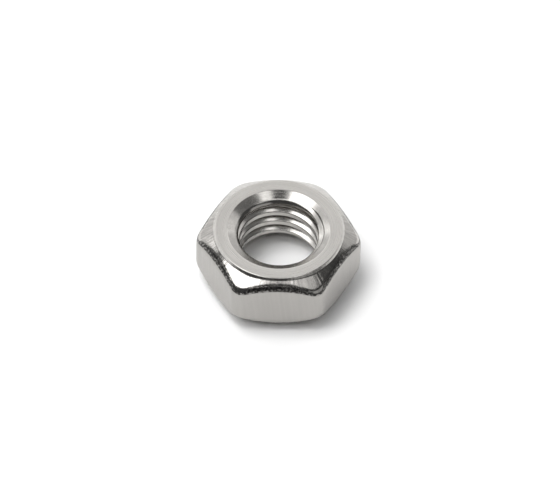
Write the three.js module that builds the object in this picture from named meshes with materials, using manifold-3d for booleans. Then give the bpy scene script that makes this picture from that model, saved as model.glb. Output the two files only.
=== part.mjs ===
// A metric hexagon nut, M8: one steel body with a right-hand thread through it.
// Frame, in millimetres: the origin is the centre of the lower bearing face, +Z runs along the
// thread to the upper bearing face, +X points at a corner and +Y at a wrench flat.
import * as THREE from "three";
import { ParametricGeometry } from "three/addons/geometries/ParametricGeometry.js";
import { mergeVertices } from "three/addons/utils/BufferGeometryUtils.js";
import Module from "manifold-3d";

// The hexagon.
const acrossFlats = 13;
const nutHeight = 6.15;
const uprightCornerRadius = 1.5;

// The round bearing face at each end, and the chamfer that starts a small shoulder below it.
const bearingFaceDiameter = 11.54;
const shoulderHeight = 0.2;
const chamferDegrees = 37;

// The thread: a 60 degree metric profile, with its crests opened to the bore diameter.
const threadDiameter = 8;
const threadPitch = 1.25;
const boreDiameter = 6.9;
const threadStartDegrees = 155;

// The countersinks. Each is a cone that bends over a rounded edge into the bore.
const upperCountersink = { diameter: 9.16, degrees: 120, edgeRadius: 0.9 };
const lowerCountersink = { diameter: 9.5, degrees: 80, edgeRadius: 0.3 };

// How finely the round surfaces are divided.
const segmentsPerTurn = 48;
const chamferSegments = 96;
const cornerSegments = 6;
const countersinkEdgeSegments = 4;

// Each cutter runs this far past the faces, so that no face of it lies on a face of the nut.
// The groove cutter runs less far into the open bore, which keeps its turns clear of each other.
const overrun = 0.5;
const grooveOverrun = 0.25;

const sides = 6;
const fullTurn = 2 * Math.PI;
const flankTangent = Math.tan(THREE.MathUtils.degToRad(30));
const boreRadius = boreDiameter / 2;
const threadRadius = threadDiameter / 2;

const wasm = await Module();
wasm.setup();

// A closed geometry as a solid that can be cut and joined.
function solidFrom(geometry) {
  const bare = geometry.clone();
  bare.deleteAttribute("normal");
  bare.deleteAttribute("uv");
  const merged = mergeVertices(bare);
  const mesh = new wasm.Mesh({
    numProp: 3,
    vertProperties: merged.attributes.position.array,
    triVerts: new Uint32Array(merged.index.array),
  });
  return new wasm.Manifold(mesh);
}

function geometryFrom(solid) {
  const mesh = solid.getMesh();
  const geometry = new THREE.BufferGeometry();
  geometry.setAttribute("position", new THREE.BufferAttribute(mesh.vertProperties, 3));
  geometry.setIndex(new THREE.BufferAttribute(mesh.triVerts, 1));
  geometry.computeVertexNormals();
  return geometry;
}

// A solid of revolution about Z, from [radius, z] points that start and end on the axis.
function turned(profile, segments) {
  const points = profile.map(([radius, z]) => new THREE.Vector2(radius, z));
  return new THREE.LatheGeometry(points, segments).rotateX(Math.PI / 2);
}

// The hexagonal bar that the nut is made from, with its upright corners rounded.
function hexagonBar() {
  const centreRadius = (acrossFlats / 2 - uprightCornerRadius) / Math.cos(Math.PI / sides);
  const outline = new THREE.Shape();
  for (let side = 0; side < sides; side += 1) {
    const corner = (side * fullTurn) / sides;
    const x = centreRadius * Math.cos(corner);
    const y = centreRadius * Math.sin(corner);
    const halfArc = Math.PI / sides;
    outline.absarc(x, y, uprightCornerRadius, corner - halfArc, corner + halfArc, false);
  }
  return new THREE.ExtrudeGeometry(outline, {
    depth: nutHeight,
    bevelEnabled: false,
    curveSegments: cornerSegments,
  });
}

// The double cone that the bar is turned down to: flat ends as wide as the bearing faces.
function chamferEnvelope() {
  const faceRadius = bearingFaceDiameter / 2;
  const widestRadius = acrossFlats / 2 / Math.cos(Math.PI / sides) + overrun;
  const slope = Math.tan(THREE.MathUtils.degToRad(chamferDegrees));
  const drop = shoulderHeight + (widestRadius - faceRadius) * slope;
  const profile = [
    [0, 0],
    [faceRadius, 0],
    [faceRadius, shoulderHeight],
    [widestRadius, drop],
    [widestRadius, nutHeight - drop],
    [faceRadius, nutHeight - shoulderHeight],
    [faceRadius, nutHeight],
    [0, nutHeight],
  ];
  return turned(profile, chamferSegments);
}

// One countersink from beyond its face into the bore, as [radius, depth below the face] points.
function countersinkPoints({ diameter, degrees, edgeRadius }) {
  const tilt = THREE.MathUtils.degToRad(90 - degrees / 2);
  const mouthRadius = diameter / 2 + overrun / Math.tan(tilt);
  const coneEndRadius = boreRadius + edgeRadius * (1 - Math.sin(tilt));
  const edgeDepth = (diameter / 2 - coneEndRadius) * Math.tan(tilt) + edgeRadius * Math.cos(tilt);
  const points = [[mouthRadius, -overrun]];
  for (let step = 0; step <= countersinkEdgeSegments; step += 1) {
    const turn = tilt + ((Math.PI / 2 - tilt) * step) / countersinkEdgeSegments;
    const radius = boreRadius + edgeRadius * (1 - Math.sin(turn));
    points.push([radius, edgeDepth - edgeRadius * Math.cos(turn)]);
  }
  return points;
}

// The bore at the crests, opening into a countersink at each end.
function boreCutter() {
  const lower = countersinkPoints(lowerCountersink);
  const upper = countersinkPoints(upperCountersink).map(([radius, depth]) => [radius, nutHeight - depth]);
  const profile = [[0, -overrun], ...lower, ...upper.reverse(), [0, nutHeight + overrun]];
  return turned(profile, segmentsPerTurn);
}

// The groove between the crests: a tapered section carried round a right-hand helix.
function grooveCutter() {
  const rootHalfWidth = threadPitch / 16;
  const innerRadius = boreRadius - grooveOverrun;
  const innerHalfWidth = rootHalfWidth + (threadRadius - innerRadius) * flankTangent;
  const section = [
    [innerRadius, -innerHalfWidth],
    [threadRadius, -rootHalfWidth],
    [threadRadius, rootHalfWidth],
    [innerRadius, innerHalfWidth],
  ];
  const turns = Math.ceil(nutHeight / threadPitch) + 2;
  const start = THREE.MathUtils.degToRad(threadStartDegrees);
  const middleRadius = (innerRadius + threadRadius) / 2;

  // Along the helix, then round the section. Both ends close on the section's middle.
  function surface(along, around, target) {
    const angle = along * turns * fullTurn;
    const corner = Math.round(around * section.length) % section.length;
    const closed = along === 0 || along === 1;
    const [radius, rise] = closed ? [middleRadius, 0] : section[corner];
    const z = (angle / fullTurn - 1) * threadPitch + rise;
    target.set(radius * Math.cos(angle + start), radius * Math.sin(angle + start), z);
  }
  return new ParametricGeometry(surface, turns * segmentsPerTurn, section.length);
}

function hexNutGeometry() {
  const blank = solidFrom(hexagonBar()).intersect(solidFrom(chamferEnvelope()));
  const bored = blank.subtract(solidFrom(boreCutter()));
  const threaded = bored.subtract(solidFrom(grooveCutter()));
  return geometryFrom(threaded);
}

const brightSteel = new THREE.MeshStandardMaterial({
  color: 0xc4c3c0,
  roughness: 0.28,
  metalness: 1,
});

const hexNut = new THREE.Mesh(hexNutGeometry(), brightSteel);
hexNut.name = "hex_nut";

const nut = new THREE.Group();
nut.add(hexNut);

export default nut;
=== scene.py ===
"""The looks of an M8 hexagon nut: one fine mesh of bright plated steel.

It stands on a pale floor in soft studio light.
"""

import math

import bpy
import numpy as np
from mathutils import Matrix, Vector


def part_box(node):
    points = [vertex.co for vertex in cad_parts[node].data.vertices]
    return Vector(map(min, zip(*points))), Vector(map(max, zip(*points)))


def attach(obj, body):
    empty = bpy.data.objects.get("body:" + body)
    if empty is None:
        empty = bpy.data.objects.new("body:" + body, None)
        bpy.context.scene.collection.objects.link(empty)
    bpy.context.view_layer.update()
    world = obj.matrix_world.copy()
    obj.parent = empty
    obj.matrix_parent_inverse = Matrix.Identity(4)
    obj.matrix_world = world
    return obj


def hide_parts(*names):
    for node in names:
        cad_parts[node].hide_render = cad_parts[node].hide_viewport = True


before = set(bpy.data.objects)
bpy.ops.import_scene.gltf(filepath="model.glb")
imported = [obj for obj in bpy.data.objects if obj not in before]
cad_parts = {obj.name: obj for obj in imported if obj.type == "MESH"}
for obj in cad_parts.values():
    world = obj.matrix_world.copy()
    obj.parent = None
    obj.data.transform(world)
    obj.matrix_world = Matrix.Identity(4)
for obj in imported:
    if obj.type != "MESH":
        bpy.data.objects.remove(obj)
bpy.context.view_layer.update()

NODE = "hex_nut"

# ---- Driving dimensions, in millimetres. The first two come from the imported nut. ----
MM = 0.001
LOW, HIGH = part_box(NODE)
HEIGHT = (HIGH.z - LOW.z) / MM
ACROSS_FLATS = (HIGH.y - LOW.y) / MM

SIDES = 6
CORNER_RADIUS = 1.5          # the six upright corners
BEARING_RADIUS = 5.77        # outer edge of the flat end faces
SHOULDER_DROP = 0.2          # the facing tool leaves this small shoulder round each end face
SHOULDER_WIDTH = 0.1
CHAMFER_DEGREES = 37         # slope of the cone between the end face and the sides
CHAMFER_EDGE_RADIUS = 1.3    # the soft edge between that cone and the sides
TORN_SHADE_DEGREES = (43, 71)      # how steep the soft edge is where its torn line of painted shade starts and ends
TORN_SHADE_NARROWING = 0.13        # how much further down the torn line of painted shade starts at the corners
CORNER_MARGIN = 0.15         # how far past the flats' middles that narrowing starts
TORN_SHADE_RAGGEDNESS = 0.08       # how far noise moves the border of the torn line of painted shade with the chamfer
TORN_SHADE_FADE = 0.03             # how softly that border fades
SIDE_RAGGEDNESS = 0.1        # the same two for its border with the side
SIDE_FADE = 0.04
BORE_RADIUS = 3.45           # at the thread crests
THREAD_RADIUS = 4.0          # at the thread roots
PITCH = 1.25
THREAD_START_DEGREES = 155   # where the groove's middle is level with the lower face
SOFTNESS = 0.016             # how softly the thread's corners are rounded

# Each countersink: radius of its mouth, slope of its cone in degrees, radius of its inner edge.
UPPER_COUNTERSINK = (4.58, 30, 0.9)
LOWER_COUNTERSINK = (4.75, 50, 0.3)

# ---- How finely the surface is divided. ----
CORNER_STEPS = 16
FLAT_STEPS = 42
WALL_STEPS = 170
FACE_STEPS = 8
CHAMFER_STEPS = 8
EDGE_STEPS = 16
SIDE_STEPS = 8


# ---------------------------------------------------------------- the shape

def hexagon_outline():
    """Points once round the rounded hexagon, anticlockwise, as polar angle and radius."""
    half_arc = math.pi / SIDES
    centre_radius = (ACROSS_FLATS / 2 - CORNER_RADIUS) / math.cos(half_arc)
    points = []
    for side in range(SIDES):
        corner = side * 2 * half_arc
        following = corner + 2 * half_arc
        centre = centre_radius * np.array([math.cos(corner), math.sin(corner)])
        next_centre = centre_radius * np.array([math.cos(following), math.sin(following)])
        for turn in np.linspace(corner - half_arc, corner + half_arc, CORNER_STEPS + 1):
            points.append(centre + CORNER_RADIUS * np.array([math.cos(turn), math.sin(turn)]))
        outwards = CORNER_RADIUS * np.array([math.cos(corner + half_arc), math.sin(corner + half_arc)])
        for share in np.linspace(0, 1, FLAT_STEPS + 2)[1:-1]:
            points.append(centre + outwards + share * (next_centre - centre))
    x, y = np.array(points).T
    return np.arctan2(y, x), np.hypot(x, y)


def softer_of(a, b, softness, sign):
    """The larger (sign 1) or smaller (sign -1) of two values, with the change-over rounded."""
    return (a + b + sign * np.sqrt((a - b) ** 2 + softness ** 2)) / 2


def thread_radius(angle, z):
    """Radius of the threaded wall: flat crests, 30 degree flanks and flat roots on a right-hand helix."""
    flank_slope = math.tan(math.radians(60))
    depth = THREAD_RADIUS - BORE_RADIUS
    groove_half_width = PITCH / 16 + depth / flank_slope
    turns = (angle - math.radians(THREAD_START_DEGREES)) / (2 * math.pi)
    from_groove = z / PITCH - turns
    from_groove = np.abs(from_groove - np.round(from_groove)) * PITCH
    cut = softer_of((groove_half_width - from_groove) * flank_slope, 0.0, SOFTNESS, 1)
    return BORE_RADIUS + softer_of(cut, depth, SOFTNESS, -1)


def countersink_radius(depth, countersink):
    """Radius of a countersink at these depths: a cone that bends over a rounded edge into the bore."""
    mouth, slope_degrees, edge = countersink
    slope = math.radians(slope_degrees)
    cone_end = BORE_RADIUS + edge * (1 - math.sin(slope))
    edge_depth = (mouth - cone_end) * math.tan(slope) + edge * math.cos(slope)
    cone = mouth - depth / math.tan(slope)
    rise = np.clip(edge_depth - depth, 0, edge)
    bend = BORE_RADIUS + edge - np.sqrt(edge ** 2 - rise ** 2)
    return np.where(cone > cone_end, cone, bend)


def wall_points(angle):
    """The bore from the lower face up to the upper one: thread and both countersinks."""
    z = np.linspace(0, HEIGHT, WALL_STEPS + 1)
    lower = countersink_radius(z, LOWER_COUNTERSINK)
    upper = countersink_radius(HEIGHT - z, UPPER_COUNTERSINK)
    return softer_of(thread_radius(angle, z), np.maximum(lower, upper), SOFTNESS, 1), z


def face_points(mouth):
    """The flat end face, outwards from the mouth of the countersink, as radius and drop."""
    radius = np.linspace(mouth, BEARING_RADIUS - SHOULDER_WIDTH, FACE_STEPS + 2)[1:]
    drop = np.zeros(len(radius))
    drop[-1] = SHOULDER_WIDTH / 4
    return radius, drop


def chamfer_points(side_radius):
    """From the shoulder round the end face, down the cone and over the soft edge on to the side."""
    slope = math.radians(CHAMFER_DEGREES)
    edge = CHAMFER_EDGE_RADIUS
    edge_start = side_radius - edge * (1 - math.sin(slope))
    radius = np.linspace(BEARING_RADIUS, edge_start, CHAMFER_STEPS)
    drop = SHOULDER_DROP + (radius - BEARING_RADIUS) * math.tan(slope)
    turns = np.linspace(slope, math.pi / 2, EDGE_STEPS)[1:]
    edge_radius = side_radius - edge + edge * np.sin(turns)
    edge_drop = drop[-1] + edge * (math.cos(slope) - np.cos(turns))
    return np.concatenate([radius, edge_radius]), np.concatenate([drop, edge_drop])


def section(angle, side_radius):
    """One closed section of the nut: radius, height, and the finish of the stretch after each point."""
    wall_r, wall_z = wall_points(angle)
    top_r, face_drop = face_points(wall_r[-1])
    bottom_r, _ = face_points(wall_r[0])
    chamfer_r, chamfer_drop = chamfer_points(side_radius)
    side_z = np.linspace(HEIGHT - chamfer_drop[-1], chamfer_drop[-1], SIDE_STEPS + 1)[1:-1]
    radius = np.concatenate([
        wall_r, top_r, chamfer_r, np.full(len(side_z), side_radius), chamfer_r[::-1], bottom_r[::-1],
    ])
    height = np.concatenate([
        wall_z, HEIGHT - face_drop, HEIGHT - chamfer_drop, side_z, chamfer_drop[::-1], face_drop[::-1],
    ])
    outside = 2 * len(chamfer_r) + len(side_z) - 1
    finish = (
        ["bore"] * (len(wall_r) - 1) + ["face"] * len(top_r) + ["shoulder"]
        + ["outside"] * outside + ["shoulder"] + ["face"] * len(bottom_r)
    )
    return radius, height, finish


def nut_mesh(finishes):
    """The nut as one closed skin of quads, each with the finish of its part of the section."""
    angles, side_radii = hexagon_outline()
    rings = [section(angle, side_radius) for angle, side_radius in zip(angles, side_radii)]
    vertices = [
        np.stack([radius * math.cos(angle), radius * math.sin(angle), height], axis=1)
        for angle, (radius, height, _) in zip(angles, rings)
    ]
    around, along = len(vertices), len(vertices[0])
    i, j = np.meshgrid(np.arange(around), np.arange(along), indexing="ij")
    next_i, next_j = (i + 1) % around, (j + 1) % along
    corners = [i * along + j, next_i * along + j, next_i * along + next_j, i * along + next_j]
    faces = np.stack(corners, axis=-1).reshape(-1, 4)
    mesh = bpy.data.meshes.new(NODE + "_skin")
    mesh.from_pydata((np.concatenate(vertices) * MM).tolist(), [], faces.tolist())
    order = list(finishes)
    for material in finishes.values():
        mesh.materials.append(material)
    slots = np.tile([order.index(name) for name in rings[0][2]], around)
    mesh.polygons.foreach_set("material_index", slots.astype(np.int32))
    crisp = order.index("shoulder")
    mesh.polygons.foreach_set("use_smooth", slots != crisp)
    mesh.update()
    return mesh


# ---------------------------------------------------------------- the finishes

STEEL = (0.56, 0.543, 0.518)


def add_node(tree, kind, inputs, **settings):
    """A shader node with its settings, and with each input linked or set."""
    made = tree.nodes.new(kind)
    for name, value in settings.items():
        setattr(made, name, value)
    for name, value in inputs.items():
        if isinstance(value, bpy.types.NodeSocket):
            tree.links.new(value, made.inputs[name])
        else:
            made.inputs[name].default_value = value
    return made


def calculate(tree, operation, *values):
    return add_node(tree, "ShaderNodeMath", dict(enumerate(values)), operation=operation).outputs[0]


def combine(tree, x, y, z):
    return add_node(tree, "ShaderNodeCombineXYZ", {"X": x, "Y": y, "Z": z}).outputs[0]


def nut_coordinates(tree):
    """Where a point lies on the nut, in millimetres, with the sine and cosine of its angle."""
    place = add_node(tree, "ShaderNodeTexCoord", {}).outputs["Object"]
    split = add_node(tree, "ShaderNodeSeparateXYZ", {"Vector": place})
    x, y, z = (calculate(tree, "DIVIDE", split.outputs[axis], MM) for axis in "XYZ")
    squares = calculate(tree, "ADD", calculate(tree, "MULTIPLY", x, x), calculate(tree, "MULTIPLY", y, y))
    radius = calculate(tree, "SQRT", squares)
    return {
        "sine": calculate(tree, "DIVIDE", y, radius),
        "cosine": calculate(tree, "DIVIDE", x, radius),
        "radius": radius,
        "height": z,
        "place": combine(tree, x, y, z),
    }


def grain(tree, at, around, outwards, upwards, detail=3.0):
    """Noise with this many marks per millimetre outwards and upwards, and per radian around."""
    sideways = calculate(tree, "MULTIPLY", at["cosine"], around)
    vector = combine(
        tree,
        calculate(tree, "MULTIPLY_ADD", at["height"], upwards, sideways),
        calculate(tree, "MULTIPLY", at["sine"], around),
        calculate(tree, "MULTIPLY", at["radius"], outwards),
    )
    noise = add_node(tree, "ShaderNodeTexNoise", {"Vector": vector, "Scale": 1.0, "Detail": detail})
    return noise.outputs["Fac"]


def mottle(tree, at, scale, detail=4.0):
    """Even noise with this many patches per millimetre."""
    noise = add_node(tree, "ShaderNodeTexNoise", {"Vector": at["place"], "Scale": scale, "Detail": detail})
    return noise.outputs["Fac"]


def between(tree, value, low, high):
    """Spreads noise, which keeps near its middle, over the range from low to high."""
    sockets = {"Value": value, "From Min": 0.3, "From Max": 0.7, "To Min": low, "To Max": high}
    return add_node(tree, "ShaderNodeMapRange", sockets).outputs["Result"]


def ramp(tree, value, start, end):
    """Nothing below start, all above end, and a smooth change between them."""
    sockets = {"Value": value, "From Min": start, "From Max": end, "To Min": 0.0, "To Max": 1.0}
    return add_node(tree, "ShaderNodeMapRange", sockets, interpolation_type="SMOOTHSTEP").outputs["Result"]


def shifted(tree, value, noise, amount):
    """A value moved up or down by noise, by up to about half of this amount."""
    middled = calculate(tree, "SUBTRACT", noise, 0.5)
    return calculate(tree, "MULTIPLY_ADD", middled, amount, value)


def layered(tree, *layers):
    """One relief in millimetres from several, each given as a height and a depth."""
    relief = 0.0
    for height, depth in layers:
        relief = calculate(tree, "MULTIPLY_ADD", height, depth, relief)
    return relief


def blend(tree, share, first, second):
    """Two finishes as one: the first where share is 0 and the second where it is 1."""
    return tuple(
        calculate(tree, "MULTIPLY_ADD", share, calculate(tree, "SUBTRACT", after, before), before)
        for before, after in zip(first, second)
    )


# Each finish gives its shade of the steel's colour, its roughness and its relief in millimetres.

def turned_face(tree, at):
    """Fine rings left by the facing tool, with broad faint bands of tone."""
    rings = grain(tree, at, 0.5, 14.0, 0.0)
    bands = grain(tree, at, 1.2, 1.6, 0.0)
    relief = layered(tree, (rings, 0.0025), (mottle(tree, at, 5.0), 0.004))
    return between(tree, bands, 0.93, 1.06), between(tree, rings, 0.24, 0.36), relief


def rough_chamfer(tree, at):
    """Fine radial tears left by the chamfering tool."""
    tears = grain(tree, at, 34.0, 0.8, 0.0)
    scratches = grain(tree, at, 80.0, 1.5, 0.0)
    relief = layered(tree, (tears, 0.011), (scratches, 0.005))
    return between(tree, tears, 0.74, 1.03), between(tree, scratches, 0.1, 0.2), relief


def torn_edge_painted_shade(tree, at):
    """Ragged metal where the chamfering tool breaks out into the sides, painted near-black as painted
    shade, with painted glints on its specks.
    """
    specks = mottle(tree, at, 6.0)
    painted_glints = ramp(tree, specks, 0.47, 0.64)
    relief = layered(tree, (specks, 0.03))
    # The shade is painted shade: near-black, with painted glints where the specks rise; the roughness and
    # relief are the torn metal's own.
    return calculate(tree, "MULTIPLY_ADD", painted_glints, 0.5, 0.08), between(tree, specks, 0.34, 0.24), relief


def satin_side_with_painted_shade(tree, at):
    """Bar stock drawn upwards through a die: faint upright lines under a satin plating, the whole side
    darkened as painted shade.
    """
    lines = grain(tree, at, 22.0, 0.0, 0.35, 5.0)
    specks = mottle(tree, at, 11.0)
    relief = layered(tree, (lines, 0.003), (specks, 0.003))
    # Painted shade: the sides' tone is held near 0.72 of the steel's; only the small spread across the
    # upright lines is their own tone.
    return between(tree, lines, 0.69, 0.75), between(tree, specks, 0.28, 0.42), relief


def polished_thread(tree, at):
    """The tap leaves fine marks that run round the bore."""
    marks = grain(tree, at, 0.8, 4.0, 11.0)
    stains = mottle(tree, at, 1.6)
    relief = layered(tree, (marks, 0.0006))
    return between(tree, stains, 0.82, 1.0), between(tree, marks, 0.17, 0.23), relief


def below_cone(tree, at):
    """How far a point lies below the line of the chamfer's cone, in millimetres."""
    from_middle = calculate(tree, "ABSOLUTE", calculate(tree, "SUBTRACT", at["height"], HEIGHT / 2))
    depth = calculate(tree, "SUBTRACT", HEIGHT / 2 - SHOULDER_DROP, from_middle)
    outwards = calculate(tree, "SUBTRACT", at["radius"], BEARING_RADIUS)
    cone = calculate(tree, "MULTIPLY", outwards, math.tan(math.radians(CHAMFER_DEGREES)))
    return calculate(tree, "SUBTRACT", depth, cone)


def edge_fall(degrees):
    """How far below that line the soft edge lies where it is this steep."""
    slope = math.radians(CHAMFER_DEGREES)
    return CHAMFER_EDGE_RADIUS / math.cos(slope) * (1 - math.cos(math.radians(degrees) - slope))


def worked_outside(tree, at):
    """The chamfer, then the torn line of painted shade along its soft edge, then the satin side, darkened
    overall by painted shade.
    """
    fall = below_cone(tree, at)
    raggedness = mottle(tree, at, 5.0)
    torn_shade_start, side_start = map(edge_fall, TORN_SHADE_DEGREES)
    at_corner = ramp(tree, at["radius"], ACROSS_FLATS / 2 + CORNER_MARGIN, HIGH.x / MM)
    narrowed = calculate(tree, "MULTIPLY_ADD", at_corner, -TORN_SHADE_NARROWING, fall)
    ragged_top = shifted(tree, narrowed, raggedness, TORN_SHADE_RAGGEDNESS)
    ragged_side = shifted(tree, fall, raggedness, SIDE_RAGGEDNESS)
    torn_shade_share = ramp(tree, ragged_top, torn_shade_start, torn_shade_start + TORN_SHADE_FADE)
    plain = ramp(tree, ragged_side, side_start - SIDE_FADE / 2, side_start + SIDE_FADE / 2)
    worked = blend(tree, torn_shade_share, rough_chamfer(tree, at), torn_edge_painted_shade(tree, at))
    return blend(tree, plain, worked, satin_side_with_painted_shade(tree, at))


def new_steel(name, describe):
    """A steel material: describe gives the finish at a place on the nut."""
    material = bpy.data.materials.new(name)
    material.use_nodes = True
    tree = material.node_tree
    shader = tree.nodes["Principled BSDF"]
    shader.inputs["Metallic"].default_value = 1.0
    shade, roughness, relief = describe(tree, nut_coordinates(tree))
    color = add_node(tree, "ShaderNodeVectorMath", {0: STEEL, "Scale": shade}, operation="SCALE")
    bump = add_node(tree, "ShaderNodeBump", {"Height": relief, "Distance": MM, "Strength": 1.0})
    tree.links.new(color.outputs["Vector"], shader.inputs["Base Color"])
    tree.links.new(roughness, shader.inputs["Roughness"])
    tree.links.new(bump.outputs["Normal"], shader.inputs["Normal"])
    return material


def finishes():
    outside = new_steel("worked_outside", worked_outside)
    return {
        "bore": new_steel("polished_thread", polished_thread),
        "face": new_steel("turned_face", turned_face),
        "shoulder": outside,
        "outside": outside,
    }


def make_nut():
    nut = bpy.data.objects.new("steel_nut", nut_mesh(finishes()))
    bpy.context.scene.collection.objects.link(nut)
    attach(nut, "root")
    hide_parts(NODE)


# ---------------------------------------------------------------- the studio

CENTRE = Vector((0, 0, HEIGHT * MM / 2))
FLOOR_SIZE = 8               # in metres
FLOOR_TONE = 0.9
CEILING_HEIGHT = 0.5         # of most of the lights, in metres
AMBIENT = 0.06

CAMERA_DEGREES = (-0.42, 50.05, 1.2)   # azimuth, elevation and roll
CAMERA_DISTANCE = 0.66                 # in metres
AIM_OFFSET = (0.142, -0.058)           # millimetres right of and above the nut's centre
SENSOR_WIDTH = 36
IMAGE_WIDTH = 560
PIXELS_PER_MM = 11.3


def make_floor():
    bpy.ops.mesh.primitive_plane_add(size=FLOOR_SIZE, location=(0, 0, LOW.z))
    floor = bpy.context.object
    floor.name = "floor"
    material = bpy.data.materials.new("pale_floor")
    material.use_nodes = True
    shader = material.node_tree.nodes["Principled BSDF"]
    shader.inputs["Base Color"].default_value = (FLOOR_TONE, FLOOR_TONE, FLOOR_TONE, 1)
    shader.inputs["Roughness"].default_value = 0.9
    shader.inputs["Specular IOR Level"].default_value = 0.0
    floor.data.materials.append(material)


def make_softbox(name, width, depth, location, target, radiance):
    """A rectangular light, in metres, that faces the target."""
    light = bpy.data.lights.new(name, "AREA")
    light.shape = "RECTANGLE"
    light.size = width
    light.size_y = depth
    light.energy = radiance * math.pi * width * depth
    lamp = bpy.data.objects.new(name, light)
    lamp.location = location
    lamp.rotation_mode = "QUATERNION"
    lamp.rotation_quaternion = (Vector(target) - Vector(location)).to_track_quat("-Z", "Y")
    bpy.context.scene.collection.objects.link(lamp)
    return lamp


def make_ceiling_box(name, left, right, near, far, radiance, height=CEILING_HEIGHT):
    """A light that faces straight down, with its edges at these distances from the nut, in metres."""
    x, y = (left + right) / 2, (near + far) / 2
    return make_softbox(name, right - left, far - near, (x, y, height), (x, y, 0), radiance)


def make_lights():
    make_ceiling_box("left_softbox", -0.72, -0.115, -0.34, 0.02, 3.1)
    make_ceiling_box("right_strip", 0.085, 0.22, -0.26, -0.02, 1.7)
    make_ceiling_box("near_overhead", -0.74, 0.2, 0.02, 0.22, 0.87)
    make_ceiling_box("far_overhead", -0.74, 0.85, 0.22, 0.95, 0.87)
    make_ceiling_box("far_left_overhead", -1.15, -0.74, 0.3, 0.95, 1.25)
    make_ceiling_box("dim_right", 0.24, 0.6, -0.12, 0.21, 0.14)
    make_ceiling_box("front_strip", -0.1, 0.18, -0.33, -0.26, 2.3)
    make_ceiling_box("front_right_strip", 0.18, 0.43, -0.38, -0.18, 0.8)
    make_softbox("back_left_panel", 1.4, 0.9, (-0.7, 1.2, 0.45), (-0.7, 0, 0.45), 0.88)
    make_softbox("back_right_panel", 1.4, 0.9, (0.7, 1.2, 0.45), (0.7, 0, 0.45), 0.75)
    make_softbox("left_panel", 0.6, 0.9, (-1.4, 0.9, 0.45), (0, 0.9, 0.45), 0.85)
    make_softbox("right_panel", 0.6, 0.9, (1.4, 0.9, 0.45), (0, 0.9, 0.45), 0.6)
    make_softbox("front_right_panel", 1.3, 0.6, (0.95, -0.95, 0.42), (0, 0, 0.42), 0.4)
    fill = make_ceiling_box("floor_fill", -1.1, -0.1, -0.4, 0.6, 9.0, height=2.2)
    fill.visible_glossy = False
    world = bpy.data.worlds.new("studio")
    world.use_nodes = True
    background = world.node_tree.nodes["Background"]
    background.inputs["Color"].default_value = (1, 1, 1, 1)
    background.inputs["Strength"].default_value = AMBIENT
    bpy.context.scene.world = world
    bpy.context.scene.view_settings.view_transform = "Standard"


def make_camera():
    azimuth, elevation, roll = map(math.radians, CAMERA_DEGREES)
    away = Vector((
        math.sin(azimuth) * math.cos(elevation),
        -math.cos(azimuth) * math.cos(elevation),
        math.sin(elevation),
    ))
    camera_data = bpy.data.cameras.new("camera")
    camera_data.sensor_width = SENSOR_WIDTH
    camera_data.lens = PIXELS_PER_MM * CAMERA_DISTANCE / MM * SENSOR_WIDTH / IMAGE_WIDTH
    camera_data.clip_start = 0.01
    camera = bpy.data.objects.new("camera", camera_data)
    turn = (-away).to_track_quat("-Z", "Y") @ Matrix.Rotation(roll, 4, "Z").to_quaternion()
    camera.rotation_mode = "QUATERNION"
    camera.rotation_quaternion = turn
    right, up = turn @ Vector((1, 0, 0)), turn @ Vector((0, 1, 0))
    aim = CENTRE + (right * AIM_OFFSET[0] + up * AIM_OFFSET[1]) * MM
    camera.location = aim + away * CAMERA_DISTANCE
    bpy.context.scene.collection.objects.link(camera)
    bpy.context.scene.camera = camera


make_nut()
make_floor()
make_lights()
make_camera()

bpy.context.view_layer.update()
